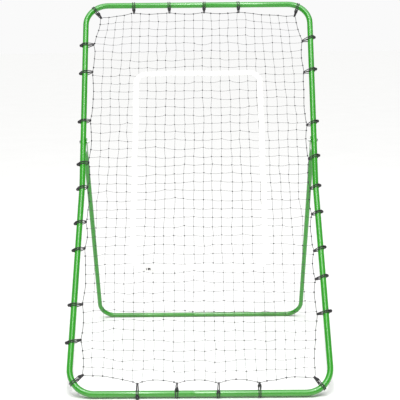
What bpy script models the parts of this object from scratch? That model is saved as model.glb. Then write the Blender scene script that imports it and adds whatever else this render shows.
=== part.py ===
"""Pitch back rebounder: a leaning rectangle of steel tube with a net laced into it by elastic ties, and a
folding rear leg that props it up.

Everything is in metres. The object stands on z = 0 and faces -Y, and x = 0 is its middle. Run it in
Blender 4.5 with: blender --background --python part.py
"""

import math

import bmesh
import bpy
from mathutils import Matrix, Vector

# ---------------------------------------------------------------- driving dimensions

# The leaning front frame: four bent tubes, measured between the centre lines of its bars.
FRAME_WIDTH = 1.041
FRAME_LENGTH = 1.803
FRAME_LEAN = math.radians(32.4)
FRAME_TUBE_RADIUS = 0.0127
FRAME_TUBE_WALL = 0.0012
FRAME_CORNER_RADIUS = 0.1
# The net's pull draws each side in where its two tubes meet.
SIDE_DRAWN_IN = 0.019
SIDE_SEAM_HEIGHT = 0.885
TOP_SEAM_X = 0.021
BOTTOM_SEAM_X = -0.021

# The drawn-down end that each joint's inner tube pushes into the outer one.
SPIGOT_LENGTH = 0.045
SPIGOT_TAPER = 0.006
SPIGOT_CLEARANCE = 0.0004
SEAM_GAP = 0.0005

# The U-shaped rear leg: two bent tubes, hung from the frame on two bolts. Its lean is from upright, and
# its splay is how much further from the middle each arm is at the bar than at the bolt.
LEG_LEAN = math.radians(26)
LEG_SPLAY = 0.0047
LEG_TUBE_RADIUS = 0.0105
LEG_TUBE_WALL = 0.0011
LEG_CORNER_RADIUS = 0.075
LEG_SEAM_X = -0.03
PIVOT_HEIGHT = 1.1
FLAT_END_THICKNESS = 0.0026
FLAT_END_HALF_WIDTH = 0.0162
FLAT_END_LENGTH = 0.036
FLAT_END_TRANSITION = 0.044
FLAT_END_OVERHANG = 0.017
# The rounded tip above the bolt: shares of its overhang, each with a share of its width.
FLAT_END_TIP = ((1, 0.35), (0.85, 0.68), (0.45, 1))
# 1 makes the flattened section an ellipse and 0 a sharp-cornered box.
FLAT_END_ROUNDNESS = 0.35

# Pivot bolts, spacers and nuts.
BOLT_RADIUS = 0.003
BOLT_HEAD_RADIUS = 0.0075
BOLT_HEAD_HEIGHT = 0.0038
BOLT_CHAMFER = 0.0008
BOLT_END_BEYOND_NUT = 0.003
BOLT_HOLE_CLEARANCE = 0.0003
SPACER_RADIUS = 0.007
SPACER_THICKNESS = 0.0012
NUT_RADIUS = 0.0058
NUT_HEIGHT = 0.006
# Pieces that touch are kept this far apart.
CONTACT_GAP = 0.0003

# The net: a knotted square mesh with a cord round its edge. Its end margin runs from the bars' centre
# lines to that cord, and its side margin from the ends of the pivot bolts, which it has to clear.
MESH_COLUMNS = 23
MESH_ROWS = 42
NET_SIDE_MARGIN = 0.0049
NET_END_MARGIN = 0.041
NET_THICKNESS = 0.003
BORDER_CORD_RADIUS = 0.002
BORDER_CORNER_RADIUS = 0.07

# The white strike zone on the front of the net, placed below the net's top edge.
ZONE_WIDTH = 0.581
ZONE_HEIGHT = 0.943
ZONE_TOP_MARGIN = 0.311
ZONE_BAND_WIDTH = 0.025
ZONE_BAND_THICKNESS = 0.0012
ZONE_CORNER_RADIUS = 0.06
LASHING_LENGTH = 0.024
LASHING_RADIUS = 0.0018
LASHING_INSET = 0.0815

# Elastic ties: a doubled cord round the tube and the net's edge, with a ball that locks it.
TIE_CORD_THICKNESS = 0.004
TIE_STRANDS_WIDTH = 0.0085
TIE_BALL_RADIUS = 0.007
TIE_CLEARANCE = 0.0008
# A strand's flat shoulder, as a share of its half thickness.
STRAND_SHOULDER = 0.6
# Where a ball between tube and net sits along the gap, and how far round the bar one in front sits.
TIE_BALL_SHARE = 0.45
TIE_BALL_FRONT_ANGLE = math.radians(50)
# Where the ties sit, counted in meshes from the net's top edge or from its left edge.
TIE_ROWS_LEFT = (4.1, 7.6, 13.6, 18.6, 21.4, 25.3, 28.2, 34.1, 37.7)
TIE_ROWS_RIGHT = (3.7, 7.7, 14.2, 18.2, 21.6, 24.5, 28.5, 31.5, 35.1)
TIE_COLUMNS_TOP = (4.3, 8.3, 12.2, 16.1)
TIE_COLUMNS_BOTTOM = (5.5, 9.3, 13.3, 17.2)
NOTCH_WIDTH = 0.013
NOTCH_CLEARANCE = 0.001

# How finely round shapes are divided.
TUBE_SIDES_RESOLUTION = 10
CORD_RESOLUTION = 1
LASHING_RESOLUTION = 2
LOOP_STEPS = 7
HOOK_STEPS = 3
CORNER_STEPS = 12
BORDER_CORNER_STEPS = 6
ZONE_CORNER_STEPS = 5
FLAT_END_STEPS = 4
LEG_SIDES = 24
TURNED_STEPS = 16
DOME_STEPS = 3
HARD_EDGE = math.radians(40)
TIE_HARD_EDGE = math.radians(50)
MERGE_DISTANCE = 1e-6
# How far the pivot drill runs past the frame on each side.
DRILL_OVERRUN = 0.1

# ---------------------------------------------------------------- sizes that follow

HALF_WIDTH = FRAME_WIDTH / 2
SEAM_X = HALF_WIDTH - SIDE_DRAWN_IN
TIE_LOOP_RADIUS = FRAME_TUBE_RADIUS + TIE_CLEARANCE + TIE_CORD_THICKNESS / 2
TIE_HOOK_RADIUS = BORDER_CORD_RADIUS + TIE_CLEARANCE + TIE_CORD_THICKNESS / 2
NET_TOP = FRAME_LENGTH - NET_END_MARGIN
NET_BOTTOM = NET_END_MARGIN
MESH_ALONG = (NET_TOP - NET_BOTTOM) / MESH_ROWS
ZONE_TOP = NET_TOP - ZONE_TOP_MARGIN
ZONE_BOTTOM = ZONE_TOP - ZONE_HEIGHT


def arc(centre_x, radius, start, end, steps):
    """Points round the outside of a circle, far enough out for the straight spans to clear it."""
    step = (end - start) / steps
    reach = radius / math.cos(step / 2)
    angles = [start + step * i for i in range(steps + 1)]
    return [(centre_x + reach * math.cos(angle), reach * math.sin(angle)) for angle in angles]


def belt(distance):
    """The centre line of a cord drawn tight round the tube and the net's border cord.

    The tube's centre is at the origin and the border cord's at (distance, 0)."""
    lean = math.asin((TIE_LOOP_RADIUS - TIE_HOOK_RADIUS) / distance)
    start = math.pi / 2 - lean
    round_tube = arc(0, TIE_LOOP_RADIUS, start, 2 * math.pi - start, LOOP_STEPS)
    round_cord = arc(distance, TIE_HOOK_RADIUS, -start, start, HOOK_STEPS)
    return round_tube + round_cord


def bottom_tie_reach(up_frame, forward):
    """How far a bottom tie reaches from the bar's centre line along a direction in its own plane."""
    round_tube = belt(NET_BOTTOM)[: LOOP_STEPS + 1]
    thick = TIE_CORD_THICKNESS / 2 / TIE_LOOP_RADIUS
    return max(x * up_frame + y * forward for x, y in round_tube) * (1 + thick)


# The bottom bar rests on its own ties, and the leg's bar on the ground.
BAR_HEIGHT = bottom_tie_reach(-math.cos(FRAME_LEAN), -math.sin(FRAME_LEAN))
PIVOT_Z = BAR_HEIGHT + PIVOT_HEIGHT * math.cos(FRAME_LEAN)
LEG_LENGTH = (PIVOT_Z - LEG_TUBE_RADIUS) / math.cos(LEG_LEAN)
# y = 0 is half way between the foremost tie and the back of the leg's bar.
FRONT_REACH = bottom_tie_reach(-math.sin(FRAME_LEAN), math.cos(FRAME_LEAN))
FOOTPRINT_BACK = (
    PIVOT_HEIGHT * math.sin(FRAME_LEAN) + LEG_LENGTH * math.sin(LEG_LEAN) + LEG_TUBE_RADIUS
)
BAR_Y = (FRONT_REACH - FOOTPRINT_BACK) / 2
PIVOT_Y = BAR_Y + PIVOT_HEIGHT * math.sin(FRAME_LEAN)


def side_x(height):
    """How far from the middle a side tube's centre line is, at this height up the frame."""
    if height < SIDE_SEAM_HEIGHT:
        return HALF_WIDTH - SIDE_DRAWN_IN * height / SIDE_SEAM_HEIGHT
    share = (FRAME_LENGTH - height) / (FRAME_LENGTH - SIDE_SEAM_HEIGHT)
    return HALF_WIDTH - SIDE_DRAWN_IN * share


# From the side tube's inner face the spacer comes first, then the leg's flat end, then the nut.
# The side tube slants, so the bolt's head and the spacer each keep clear of it by a little more.
PIVOT_TUBE_X = side_x(PIVOT_HEIGHT)
PIVOT_SLANT = abs(side_x(PIVOT_HEIGHT + BOLT_HEAD_RADIUS) - PIVOT_TUBE_X)
TUBE_CLEARANCE = FRAME_TUBE_RADIUS + PIVOT_SLANT + CONTACT_GAP
SPACER_OUTER_X = PIVOT_TUBE_X - TUBE_CLEARANCE
FLAT_OUTER_X = SPACER_OUTER_X - SPACER_THICKNESS - CONTACT_GAP
FLAT_INNER_X = FLAT_OUTER_X - FLAT_END_THICKNESS
NUT_OUTER_X = FLAT_INNER_X - CONTACT_GAP
BOLT_END_X = NUT_OUTER_X - NUT_HEIGHT - BOLT_END_BEYOND_NUT
NET_HALF_WIDTH = BOLT_END_X - NET_SIDE_MARGIN
MESH_ACROSS = 2 * NET_HALF_WIDTH / MESH_COLUMNS
ARM_TOP_X = FLAT_INNER_X + LEG_TUBE_RADIUS
ARM_FOOT_X = ARM_TOP_X + LEG_SPLAY

# ---------------------------------------------------------------- scene, collections and materials

for old in list(bpy.data.objects):
    bpy.data.objects.remove(old, do_unlink=True)

PARTS = bpy.data.collections.new("pitch_back_rebounder")
CUTTERS = bpy.data.collections.new("cutters")
for collection in (PARTS, CUTTERS):
    bpy.context.scene.collection.children.link(collection)
CUTTERS.hide_render = True


def material(name, colour, roughness, metallic=0.0):
    made = bpy.data.materials.new(name)
    made.use_nodes = True
    shader = made.node_tree.nodes["Principled BSDF"]
    shader.inputs["Base Color"].default_value = (*colour, 1.0)
    shader.inputs["Roughness"].default_value = roughness
    shader.inputs["Metallic"].default_value = metallic
    return made


GREEN_COAT = material("green powder coat", (0.09, 0.55, 0.06), 0.35)
ZINC = material("zinc plated steel", (0.55, 0.56, 0.55), 0.35, 1.0)
NYLON = material("black nylon", (0.02, 0.02, 0.02), 0.5)
NET_TWINE = material("dark net twine", (0.06, 0.06, 0.07), 0.8)
WEBBING = material("white webbing", (0.85, 0.85, 0.83), 0.75)
ELASTIC = material("black elastic cord", (0.015, 0.012, 0.015), 0.6)


def empty(name, location, rotation):
    made = bpy.data.objects.new(name, None)
    made.location = location
    made.rotation_euler = rotation
    PARTS.objects.link(made)
    return made


# Local x is across, y runs up the tube's plane and z is its front normal.
FRONT_FRAME = empty("front_frame", (0, BAR_Y, BAR_HEIGHT), (math.pi / 2 - FRAME_LEAN, 0, 0))
REAR_LEG = empty("rear_leg", (0, PIVOT_Y, PIVOT_Z), (math.pi / 2 + LEG_LEAN, 0, 0))


def place(made, parent, finish, location=(0, 0, 0), rotation=(0, 0, 0)):
    """Link a piece to the parts, with its material, under one of the two empties."""
    made.data.materials.clear()
    made.data.materials.append(finish)
    made.parent = parent
    made.location = location
    made.rotation_euler = rotation
    if made.name not in PARTS.objects:
        PARTS.objects.link(made)
    return made


def smooth(mesh, hard_edge=HARD_EDGE):
    for polygon in mesh.polygons:
        polygon.use_smooth = True
    mesh.set_sharp_from_angle(angle=hard_edge)


def frozen(made, name):
    """A mesh object with the shape that a curve or an object with modifiers has now."""
    if made.name not in PARTS.objects:
        PARTS.objects.link(made)
    bpy.context.view_layer.update()
    graph = bpy.context.evaluated_depsgraph_get()
    mesh = bpy.data.meshes.new_from_object(made.evaluated_get(graph))
    shape = bmesh.new()
    shape.from_mesh(mesh)
    bmesh.ops.remove_doubles(shape, verts=shape.verts, dist=MERGE_DISTANCE)
    bmesh.ops.recalc_face_normals(shape, faces=shape.faces)
    shape.to_mesh(mesh)
    shape.free()
    result = bpy.data.objects.new(name, mesh)
    result.matrix_world = made.matrix_world
    bpy.data.objects.remove(made)
    return result


# ---------------------------------------------------------------- outlines and paths


def rounded_corner(before, corner, after, radius, steps=CORNER_STEPS):
    """Points of the arc that rounds a corner between two straight runs."""
    corner = Vector(corner)
    inward = (Vector(before) - corner).normalized()
    outward = (Vector(after) - corner).normalized()
    half = inward.angle(outward) / 2
    centre = corner + (inward + outward).normalized() * radius / math.sin(half)
    start = corner + inward * radius / math.tan(half) - centre
    end = corner + outward * radius / math.tan(half) - centre
    turn = start.angle_signed(end)
    return [centre + Matrix.Rotation(-turn * i / steps, 2) @ start for i in range(steps + 1)]


def rounded_rectangle(half_width, bottom, top, radius, steps=CORNER_STEPS):
    corners = [(-half_width, bottom), (half_width, bottom), (half_width, top), (-half_width, top)]
    outline = []
    for i, corner in enumerate(corners):
        outline += rounded_corner(corners[i - 1], corner, corners[(i + 1) % 4], radius, steps)
    return outline


def curve_object(name, splines, cyclic, depth=0.0, resolution=0, extrude=0.0, radii=None):
    """A curve of straight spans in the local xy plane: a tube of this radius or, with extrude, a plate."""
    data = bpy.data.curves.new(name, "CURVE")
    data.dimensions = "2D" if extrude else "3D"
    data.bevel_depth = depth
    data.bevel_resolution = resolution
    data.extrude = extrude
    if extrude:
        data.fill_mode = "BOTH"
    for points in splines:
        spline = data.splines.new("POLY")
        spline.points.add(len(points) - 1)
        for i, (point, place_in) in enumerate(zip(spline.points, points)):
            point.co = (place_in[0], place_in[1], 0, 1)
            point.radius = radii[i] if radii else 1
        spline.use_cyclic_u = cyclic
    return bpy.data.objects.new(name, data)


# ---------------------------------------------------------------- front frame tubes


def spigot(seam, direction):
    """The points and radii of a drawn-down end that enters the next tube along direction."""
    seam = Vector(seam)
    direction = Vector(direction).normalized()
    narrow = FRAME_TUBE_RADIUS - FRAME_TUBE_WALL - SPIGOT_CLEARANCE
    share = narrow / FRAME_TUBE_RADIUS
    points = [
        seam - direction * (SPIGOT_TAPER + SEAM_GAP),
        seam - direction * SEAM_GAP,
        seam + direction * SPIGOT_LENGTH,
    ]
    return points, [1, share, share]


def frame_tube(name, side, level):
    """One bent quarter of the frame. side is -1 for left, and level is -1 for the lower tubes."""
    bar_height = 0 if level < 0 else FRAME_LENGTH
    bar_seam = (BOTTOM_SEAM_X if level < 0 else TOP_SEAM_X, bar_height)
    side_seam = (side * SEAM_X, SIDE_SEAM_HEIGHT)
    corner = (side * HALF_WIDTH, bar_height)
    points = rounded_corner(side_seam, corner, bar_seam, FRAME_CORNER_RADIUS)
    radii = [1] * len(points)
    # The upper tubes push down into the lower ones.
    if level > 0:
        down = Vector((side * HALF_WIDTH, 0)) - Vector(side_seam)
        ends, widths = spigot(side_seam, down)
        points = ends[::-1] + points
        radii = widths[::-1] + radii
    else:
        points = [Vector(side_seam)] + points
        radii = [1] + radii
    # Along the bars the lower right and upper left tubes are the outer ones.
    if side * level > 0:
        ends, widths = spigot(bar_seam, (-side, 0))
        points += ends
        radii += widths
    else:
        points += [Vector(bar_seam)]
        radii += [1]
    tube = curve_object(
        name + "_curve", [points], False, FRAME_TUBE_RADIUS, TUBE_SIDES_RESOLUTION, radii=radii
    )
    wall = tube.modifiers.new("wall", "SOLIDIFY")
    wall.thickness = FRAME_TUBE_WALL
    wall.offset = -1
    tube = frozen(tube, name)
    smooth(tube.data)
    return place(tube, FRONT_FRAME, GREEN_COAT)


# ---------------------------------------------------------------- rear leg tubes


def flat_end_sections():
    """(distance below the bolt, half thickness, half width, roundness) down the flattened end."""
    flat = FLAT_END_THICKNESS / 2
    wide = FLAT_END_HALF_WIDTH
    boxy = FLAT_END_ROUNDNESS
    sections = [(-FLAT_END_OVERHANG * up, flat, wide * share, boxy) for up, share in FLAT_END_TIP]
    sections.append((FLAT_END_LENGTH, flat, wide, boxy))
    for i in range(1, FLAT_END_STEPS + 1):
        share = i / FLAT_END_STEPS
        ease = share * share * (3 - 2 * share)
        sections.append((
            FLAT_END_LENGTH + FLAT_END_TRANSITION * share,
            flat + (LEG_TUBE_RADIUS - flat) * ease,
            wide + (LEG_TUBE_RADIUS - wide) * ease,
            boxy + (1 - boxy) * ease,
        ))
    return sections


def ring(shape, centre, across, half_thickness, half_width, roundness):
    """Vertices of one section: half_thickness lies in the leg's plane, half_width square to it."""
    vertices = []
    for i in range(LEG_SIDES):
        angle = 2 * math.pi * i / LEG_SIDES
        cosine = math.copysign(abs(math.cos(angle)) ** roundness, math.cos(angle))
        flat = centre + across * (half_thickness * cosine)
        vertices.append(shape.verts.new((flat.x, flat.y, half_width * math.sin(angle))))
    return vertices


def bridge(shape, first, second):
    for i in range(LEG_SIDES):
        j = (i + 1) % LEG_SIDES
        shape.faces.new((first[i], first[j], second[j], second[i]))


def leg_tube(name, side, inner_end):
    """Half of the rear leg: flattened at the bolt, round down the arm, and bent into the bar."""
    foot = Vector((side * ARM_FOOT_X, -LEG_LENGTH))
    arm_top = Vector((side * ARM_TOP_X, 0))
    seam = Vector((LEG_SEAM_X, -LEG_LENGTH))
    along_bar = Vector((-side, 0))
    down = (foot - arm_top).normalized()
    sections = []
    for below, thin, wide, roundness in flat_end_sections():
        centre = Vector((side * (FLAT_INNER_X + thin), -below))
        sections.append((centre, thin, wide, roundness))
    last_solid = len(sections) - 1
    round_section = (LEG_TUBE_RADIUS, LEG_TUBE_RADIUS, 1)
    for point in rounded_corner(arm_top, foot, seam, LEG_CORNER_RADIUS):
        sections.append((point, *round_section))
    if inner_end:
        narrow = LEG_TUBE_RADIUS - LEG_TUBE_WALL - SPIGOT_CLEARANCE
        sections.append((seam - along_bar * (SPIGOT_TAPER + SEAM_GAP), *round_section))
        sections.append((seam - along_bar * SEAM_GAP, narrow, narrow, 1))
        sections.append((seam + along_bar * SPIGOT_LENGTH, narrow, narrow, 1))
    else:
        sections.append((seam, *round_section))
    shape = bmesh.new()
    outer = []
    inner = []
    for i, (centre, thin, wide, roundness) in enumerate(sections):
        before = sections[max(i - 1, 0)][0]
        after = sections[min(i + 1, len(sections) - 1)][0]
        tangent = (after - before).normalized() if i > last_solid else down
        across = Vector((-tangent.y, tangent.x))
        outer.append(ring(shape, centre, across, thin, wide, roundness))
        if i >= last_solid:
            inner.append(
                ring(shape, centre, across, thin - LEG_TUBE_WALL, wide - LEG_TUBE_WALL, 1)
            )
    for rings in (outer, inner):
        for first, second in zip(rings, rings[1:]):
            bridge(shape, first, second)
    bridge(shape, outer[-1], inner[-1])
    shape.faces.new(outer[0])
    shape.faces.new(inner[0])
    bmesh.ops.recalc_face_normals(shape, faces=shape.faces)
    mesh = bpy.data.meshes.new(name)
    shape.to_mesh(mesh)
    shape.free()
    smooth(mesh)
    return place(bpy.data.objects.new(name, mesh), REAR_LEG, GREEN_COAT)


# ---------------------------------------------------------------- pivot hardware


def turned(name, profile, finish, parent, location, side):
    """A piece turned round the pivot axis: profile is (radius, distance inwards), outer end first."""
    mesh = bpy.data.meshes.new(name)
    shape = bmesh.new()
    vertices = [shape.verts.new((radius, 0, -along)) for radius, along in profile]
    closed = profile[0][0] > 0
    for first, second in zip(vertices, vertices[1:] + vertices[:1] * closed):
        shape.edges.new((first, second))
    shape.to_mesh(mesh)
    shape.free()
    made = bpy.data.objects.new(name, mesh)
    screw = made.modifiers.new("turn", "SCREW")
    screw.steps = TURNED_STEPS
    screw.render_steps = TURNED_STEPS
    screw.use_merge_vertices = True
    screw.merge_threshold = MERGE_DISTANCE
    return place(made, parent, finish, location, (0, side * math.pi / 2, 0))


def pivot_bolt(name, side):
    """A dome-headed bolt through the side tube, spacer, flat end and nut."""
    length = PIVOT_TUBE_X + TUBE_CLEARANCE - BOLT_END_X
    angles = [math.pi / 2 * i / DOME_STEPS for i in range(DOME_STEPS + 1)]
    head = [
        (BOLT_HEAD_RADIUS * math.sin(angle), BOLT_HEAD_HEIGHT * (1 - math.cos(angle)))
        for angle in angles
    ]
    profile = head + [
        (BOLT_RADIUS, BOLT_HEAD_HEIGHT),
        (BOLT_RADIUS, BOLT_HEAD_HEIGHT + length - BOLT_CHAMFER),
        (BOLT_RADIUS - BOLT_CHAMFER, BOLT_HEAD_HEIGHT + length),
        (0, BOLT_HEAD_HEIGHT + length),
    ]
    place_x = side * (PIVOT_TUBE_X + TUBE_CLEARANCE + BOLT_HEAD_HEIGHT)
    return turned(name, profile, ZINC, FRONT_FRAME, (place_x, PIVOT_HEIGHT, 0), side)


def pivot_spacer(name, side):
    bore = BOLT_RADIUS + BOLT_HOLE_CLEARANCE
    profile = [
        (bore, 0),
        (SPACER_RADIUS, 0),
        (SPACER_RADIUS, SPACER_THICKNESS),
        (bore, SPACER_THICKNESS),
    ]
    location = (side * SPACER_OUTER_X, PIVOT_HEIGHT, 0)
    return turned(name, profile, NYLON, FRONT_FRAME, location, side)


def pivot_nut(name, side):
    """A hexagon nut with its thread bore cut right through."""
    mesh = bpy.data.meshes.new(name)
    shape = bmesh.new()
    bmesh.ops.create_cone(
        shape, cap_ends=True, segments=6, radius1=NUT_RADIUS, radius2=NUT_RADIUS, depth=NUT_HEIGHT
    )
    shape.to_mesh(mesh)
    shape.free()
    made = bpy.data.objects.new(name, mesh)
    location = (side * (NUT_OUTER_X - NUT_HEIGHT / 2), PIVOT_HEIGHT, 0)
    return place(made, FRONT_FRAME, ZINC, location, (0, side * math.pi / 2, 0))


def pivot_hole_cutter():
    """One long drill along the pivot axis, for both side tubes, both flat ends and both nuts."""
    mesh = bpy.data.meshes.new("pivot_hole")
    shape = bmesh.new()
    radius = BOLT_RADIUS + BOLT_HOLE_CLEARANCE
    length = FRAME_WIDTH + 2 * DRILL_OVERRUN
    bmesh.ops.create_cone(
        shape, cap_ends=True, segments=TURNED_STEPS, radius1=radius, radius2=radius, depth=length
    )
    shape.to_mesh(mesh)
    shape.free()
    cutter = bpy.data.objects.new("pivot_hole", mesh)
    cutter.parent = FRONT_FRAME
    cutter.location = (0, PIVOT_HEIGHT, 0)
    cutter.rotation_euler = (0, math.pi / 2, 0)
    cutter.hide_render = True
    cutter.display_type = "WIRE"
    CUTTERS.objects.link(cutter)
    return cutter


def drill(piece, cutter):
    cut = piece.modifiers.new("pivot hole", "BOOLEAN")
    cut.operation = "DIFFERENCE"
    cut.solver = "EXACT"
    cut.object = cutter


# ---------------------------------------------------------------- net, border cord and strike zone


def net_panel(ties):
    """The net as a thin panel, with a notch at its edge for each tie and its corners left open."""
    inset = BORDER_CORD_RADIUS + CONTACT_GAP
    right = NET_HALF_WIDTH - inset
    top = NET_TOP - inset
    bottom = NET_BOTTOM + inset
    depth = TIE_HOOK_RADIUS + TIE_CORD_THICKNESS / 2 + NOTCH_CLEARANCE - inset
    # The corners are cut off, inside the border cord's round corners, where the corner ties hook.
    cut = BORDER_CORNER_RADIUS
    corners = [
        (Vector((-right, bottom)), Vector((1, 0)), Vector((0, 1)), "bottom"),
        (Vector((right, bottom)), Vector((0, 1)), Vector((-1, 0)), "right"),
        (Vector((right, top)), Vector((-1, 0)), Vector((0, -1)), "top"),
        (Vector((-right, top)), Vector((0, -1)), Vector((1, 0)), "left"),
    ]
    outline = []
    for i, (corner, along, inward, edge) in enumerate(corners):
        following = corners[(i + 1) % 4][0]
        outline.append(corner + along * cut)
        places = sorted((tie["hook"] - corner).dot(along) for tie in ties if tie["edge"] == edge)
        for middle in places:
            for step, into in ((-1, 0), (-1, depth), (1, depth), (1, 0)):
                outline.append(corner + along * (middle + step * NOTCH_WIDTH / 2) + inward * into)
        outline.append(following - along * cut)
    panel = curve_object("net_curve", [outline], True, extrude=NET_THICKNESS / 2)
    return place(frozen(panel, "net_panel"), FRONT_FRAME, NET_TWINE)


def net_border_cord():
    outline = rounded_rectangle(
        NET_HALF_WIDTH, NET_BOTTOM, NET_TOP, BORDER_CORNER_RADIUS, BORDER_CORNER_STEPS
    )
    cord = curve_object("border_curve", [outline], True, BORDER_CORD_RADIUS, CORD_RESOLUTION)
    cord = frozen(cord, "net_border_cord")
    smooth(cord.data)
    return place(cord, FRONT_FRAME, NET_TWINE)


def strike_zone_band():
    band = ZONE_BAND_WIDTH
    outer = rounded_rectangle(
        ZONE_WIDTH / 2, ZONE_BOTTOM, ZONE_TOP, ZONE_CORNER_RADIUS, ZONE_CORNER_STEPS
    )
    inner = rounded_rectangle(
        ZONE_WIDTH / 2 - band,
        ZONE_BOTTOM + band,
        ZONE_TOP - band,
        ZONE_CORNER_RADIUS - band,
        ZONE_CORNER_STEPS,
    )
    ring_plate = curve_object(
        "zone_curve", [outer, inner], True, extrude=ZONE_BAND_THICKNESS / 2
    )
    height = NET_THICKNESS / 2 + CONTACT_GAP + ZONE_BAND_THICKNESS / 2
    return place(frozen(ring_plate, "strike_zone_band"), FRONT_FRAME, WEBBING, (0, 0, height))


def strike_zone_lashing():
    """The short cord that is knotted over the band's lower edge."""
    half = LASHING_LENGTH / 2
    ends = [(-half, 0), (half, 0)]
    cord = curve_object("lashing_curve", [ends], False, LASHING_RADIUS, LASHING_RESOLUTION)
    cord.data.use_fill_caps = True
    cord = frozen(cord, "strike_zone_lashing")
    height = NET_THICKNESS / 2 + ZONE_BAND_THICKNESS + CONTACT_GAP * 2 + LASHING_RADIUS
    across = LASHING_INSET - ZONE_WIDTH / 2
    up = ZONE_BOTTOM + ZONE_BAND_WIDTH / 4
    return place(cord, FRONT_FRAME, ELASTIC, (across, up, height))


# ---------------------------------------------------------------- elastic ties


def tie_list():
    """Each tie's name, edge of the net, tube centre, net-edge point and where its ball is."""
    ties = []
    for edge, side, rows in (("left", -1, TIE_ROWS_LEFT), ("right", 1, TIE_ROWS_RIGHT)):
        for number, row in enumerate(rows, 1):
            height = NET_TOP - row * MESH_ALONG
            ties.append({
                "name": f"bungee_tie_{edge}_{number}",
                "edge": edge,
                "tube": Vector((side * side_x(height), height)),
                "hook": Vector((side * NET_HALF_WIDTH, height)),
                "ball": "outside",
            })
    for edge, columns, bar, net in (
        ("top", TIE_COLUMNS_TOP, FRAME_LENGTH, NET_TOP),
        ("bottom", TIE_COLUMNS_BOTTOM, 0, NET_BOTTOM),
    ):
        for number, column in enumerate(columns, 1):
            x = -NET_HALF_WIDTH + column * MESH_ACROSS
            ties.append({
                "name": f"bungee_tie_{edge}_{number}",
                "edge": edge,
                "tube": Vector((x, bar)),
                "hook": Vector((x, net)),
                "ball": "front" if edge == "bottom" else "between",
            })
    diagonal = math.sqrt(0.5)
    for level, up, bar, net in ((-1, "bottom", 0, NET_BOTTOM), (1, "top", FRAME_LENGTH, NET_TOP)):
        for side, hand in ((-1, "left"), (1, "right")):
            outwards = Vector((side, level)) * diagonal
            hook = Vector((side * NET_HALF_WIDTH, net))
            hook += outwards * BORDER_CORNER_RADIUS * (1 - math.sqrt(2))
            # The tie leaves the cord squarely, and meets the bend wherever that takes it.
            bend = Vector((side * HALF_WIDTH, bar))
            bend -= Vector((side, level)) * FRAME_CORNER_RADIUS
            along = (hook - bend).dot(outwards)
            aside = (hook - bend).cross(outwards)
            tube = hook + outwards * (math.sqrt(FRAME_CORNER_RADIUS**2 - aside**2) - along)
            ties.append({
                "name": f"bungee_tie_corner_{up}_{hand}",
                "edge": "corner",
                "tube": tube,
                "hook": hook,
                "ball": "between",
            })
    return ties


def strands_profile():
    """The section of two strands lying side by side."""
    thick = TIE_CORD_THICKNESS / 2
    wide = TIE_STRANDS_WIDTH / 2
    flat = wide - thick * STRAND_SHOULDER
    points = [(thick, -flat), (thick, flat), (0, wide), (-thick, flat), (-thick, -flat), (0, -wide)]
    profile = curve_object("strands", [points], True)
    profile.data.dimensions = "2D"
    profile.data.fill_mode = "NONE"
    profile.hide_render = True
    profile.display_type = "WIRE"
    CUTTERS.objects.link(profile)
    return profile


def tie_ball(tie, distance):
    """The ball's centre, in the tie's own plane."""
    if tie["ball"] == "between":
        radius = TIE_LOOP_RADIUS + (TIE_HOOK_RADIUS - TIE_LOOP_RADIUS) * TIE_BALL_SHARE
        return (distance * TIE_BALL_SHARE, radius)
    angle = math.pi if tie["ball"] == "outside" else TIE_BALL_FRONT_ANGLE
    reach = FRAME_TUBE_RADIUS + TIE_CLEARANCE + TIE_BALL_RADIUS
    return (reach * math.cos(angle), reach * math.sin(angle))


def bungee_tie(tie, profile):
    towards_net = tie["hook"] - tie["tube"]
    distance = towards_net.length
    cord = curve_object("tie_curve", [belt(distance)], True)
    cord.data.dimensions = "2D"
    cord.data.fill_mode = "NONE"
    cord.data.bevel_mode = "OBJECT"
    cord.data.bevel_object = profile
    cord = frozen(cord, "tie_cord")
    ball_mesh = bpy.data.meshes.new("ball")
    shape = bmesh.new()
    bmesh.ops.create_icosphere(shape, subdivisions=2, radius=TIE_BALL_RADIUS)
    shape.to_mesh(ball_mesh)
    shape.free()
    ball = bpy.data.objects.new("ball", ball_mesh)
    x, y = tie_ball(tie, distance)
    ball.location = (x, y, 0)
    CUTTERS.objects.link(ball)
    joined = cord.modifiers.new("ball", "BOOLEAN")
    joined.operation = "UNION"
    joined.solver = "EXACT"
    joined.object = ball
    made = frozen(cord, tie["name"])
    bpy.data.objects.remove(ball)
    smooth(made.data, TIE_HARD_EDGE)
    heading = math.atan2(towards_net.y, towards_net.x)
    return place(made, FRONT_FRAME, ELASTIC, (*tie["tube"], 0), (math.pi / 2, 0, heading))


# ---------------------------------------------------------------- assembly


def main():
    drilled = []
    for side, hand in ((-1, "left"), (1, "right")):
        frame_tube(f"frame_tube_lower_{hand}", side, -1)
        drilled.append(frame_tube(f"frame_tube_upper_{hand}", side, 1))
        drilled.append(leg_tube(f"rear_leg_tube_{hand}", side, inner_end=side < 0))
        drilled.append(pivot_nut(f"pivot_nut_{hand}", side))
        pivot_bolt(f"pivot_bolt_{hand}", side)
        pivot_spacer(f"pivot_spacer_{hand}", side)
    cutter = pivot_hole_cutter()
    for piece in drilled:
        drill(piece, cutter)
    ties = tie_list()
    net_panel(ties)
    net_border_cord()
    strike_zone_band()
    strike_zone_lashing()
    profile = strands_profile()
    for tie in ties:
        bungee_tie(tie, profile)


main()
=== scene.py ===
# %% [markdown]
# # A pitch back rebounder
# A leaning rectangle of green steel tube holds a knotted net, and a folding rear leg props it up. A ball
# thrown at the net comes back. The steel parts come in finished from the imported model. This notebook
# gives them their real surfaces and builds everything soft: the net, the elastic ball ties that stretch
# it, and the white strike zone sewn from webbing.

# %% Load the fixed frame
import math
import random

import bmesh
import bpy
import numpy as np
from mathutils import Matrix, Vector


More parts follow.
